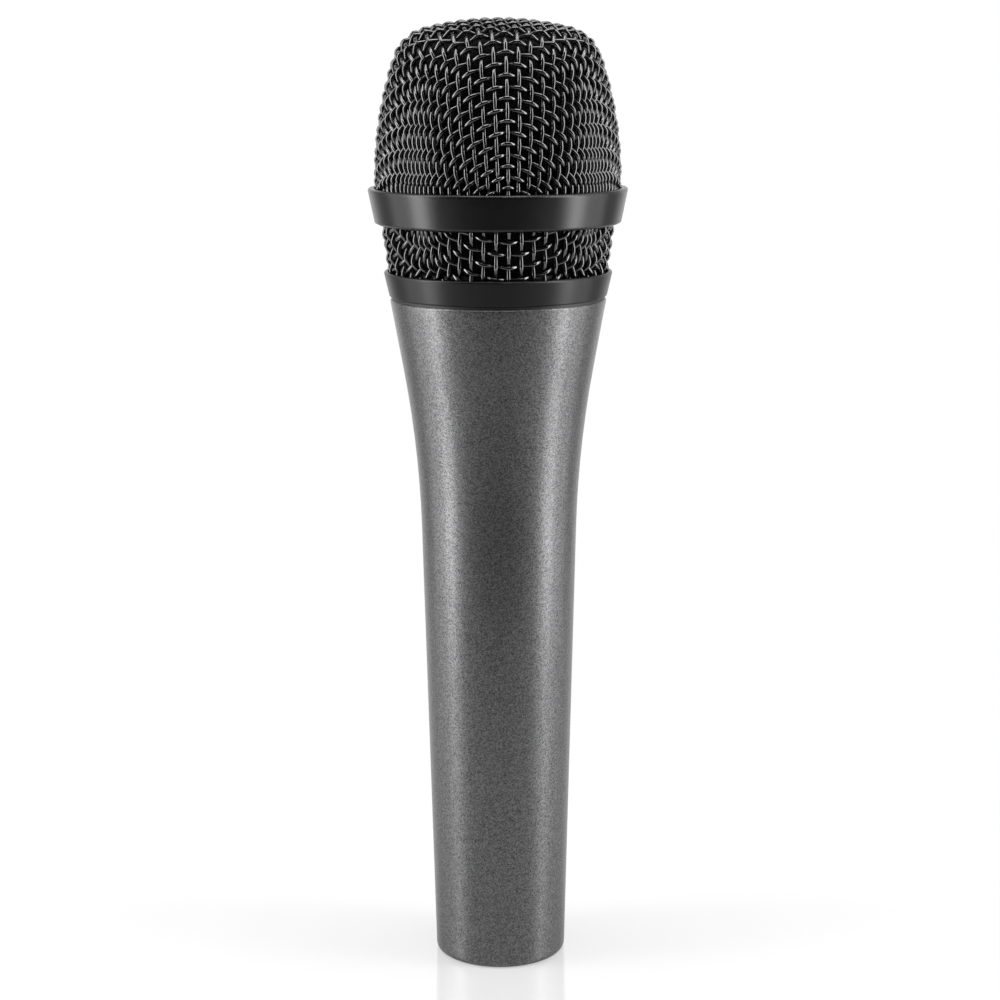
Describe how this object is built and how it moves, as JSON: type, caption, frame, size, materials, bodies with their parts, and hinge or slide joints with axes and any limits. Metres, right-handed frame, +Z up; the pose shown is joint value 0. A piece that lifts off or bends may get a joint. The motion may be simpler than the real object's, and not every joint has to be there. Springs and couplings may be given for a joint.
{
  "type": "dynamic microphone",
  "caption": "Handheld vocal microphone with a flared metal handle, a woven wire grille that unscrews, a shock-mounted moving-coil capsule and a male audio connector in its foot.",
  "frame": {"origin": "centre of the flat connector end of the handle, which the microphone stands on", "axes": "+Z up the microphone's axis to the crown of the grille; -Y is the front, opposite the connector's lock screw; +X completes the right-handed frame"},
  "size_m": [0.0482, 0.0482, 0.18],
  "materials": {
    "handle_paint": "satin",
    "neck_metal": "satin",
    "ring_paint": "satin",
    "mesh_paint": "satin",
    "foam": "matte",
    "slip_plastic": "matte",
    "insert_plastic": "matte",
    "contact_metal": "polished",
    "screw_steel": "satin",
    "spring_brass": "satin",
    "rubber": "matte",
    "lead_red": "satin",
    "lead_green": "satin",
    "capsule_plastic": "satin",
    "screen_cloth": "matte",
    "clamp_metal": "satin",
    "diaphragm_film": "gloss",
    "coil_copper": "satin",
    "yoke_steel": "satin",
    "magnet_alloy": "satin",
    "felt": "matte",
    "board": "satin",
    "solder": "satin"
  },
  "bodies": {
    "handle": {"handle_shell": "handle_paint", "neck_ring": "neck_metal", "connector_insert": "insert_plastic", "contact_pin_1": "contact_metal", "contact_pin_2": "contact_metal", "contact_pin_3": "contact_metal", "lock_screw": "screw_steel", "ground_spring": "spring_brass", "upper_suspension": "rubber", "lower_suspension": "rubber", "lead_hot": "lead_red", "lead_cold": "lead_green"},
    "slip_washer": {"slip_washer": "slip_plastic"},
    "foam_liner": {"foam_liner": "foam"},
    "grille": {"grille_collar": "ring_paint", "lower_mesh": "mesh_paint", "band_ring": "ring_paint", "clamp_hoop": "ring_paint", "upper_mesh": "mesh_paint"},
    "capsule": {"capsule_housing": "capsule_plastic", "front_cap": "capsule_plastic", "front_screen": "screen_cloth", "clamp_ring": "clamp_metal", "diaphragm_surround": "diaphragm_film", "magnet_yoke": "yoke_steel", "magnet": "magnet_alloy", "pole_piece": "yoke_steel", "resistance_felt": "felt", "coil_bobbin": "capsule_plastic", "hum_coil": "coil_copper", "rear_chamber": "capsule_plastic", "terminal_board": "board", "solder_lugs": "solder"},
    "diaphragm": {"diaphragm_dome": "diaphragm_film", "voice_coil": "coil_copper"}
  },
  "joints": [
    {"name": "grille_lift", "type": "slide", "parent": "handle", "child": "slip_washer", "axis": [0, 0, 1], "range_m": [0, 0.045]},
    {"name": "grille_rise", "type": "slide", "parent": "slip_washer", "child": "foam_liner", "axis": [0, 0, 1], "range_m": [0, 0.0045]},
    {"name": "grille_turn", "type": "hinge", "parent": "foam_liner", "child": "grille", "pos_m": [0, 0, 0.1289], "axis": [0, 0, 1], "range_deg": [0, 1080]},
    {"name": "capsule_float", "type": "slide", "parent": "handle", "child": "capsule", "axis": [0, 0, 1], "range_m": [-0.001, 0.001], "stiffness_N_per_m": 3000, "springref_m": 0.00016, "deforming": ["upper_suspension", "lower_suspension", "lead_hot", "lead_cold"]},
    {"name": "diaphragm_travel", "type": "slide", "parent": "capsule", "child": "diaphragm", "axis": [0, 0, 1], "range_m": [-0.0003, 0.0003], "stiffness_N_per_m": 80, "springref_m": 0.00008, "deforming": ["diaphragm_surround"]}
  ],
  "couplings": [
    {"joint": "grille_rise", "follows": "grille_turn", "m_per_rad": 0.00023873}
  ]
}
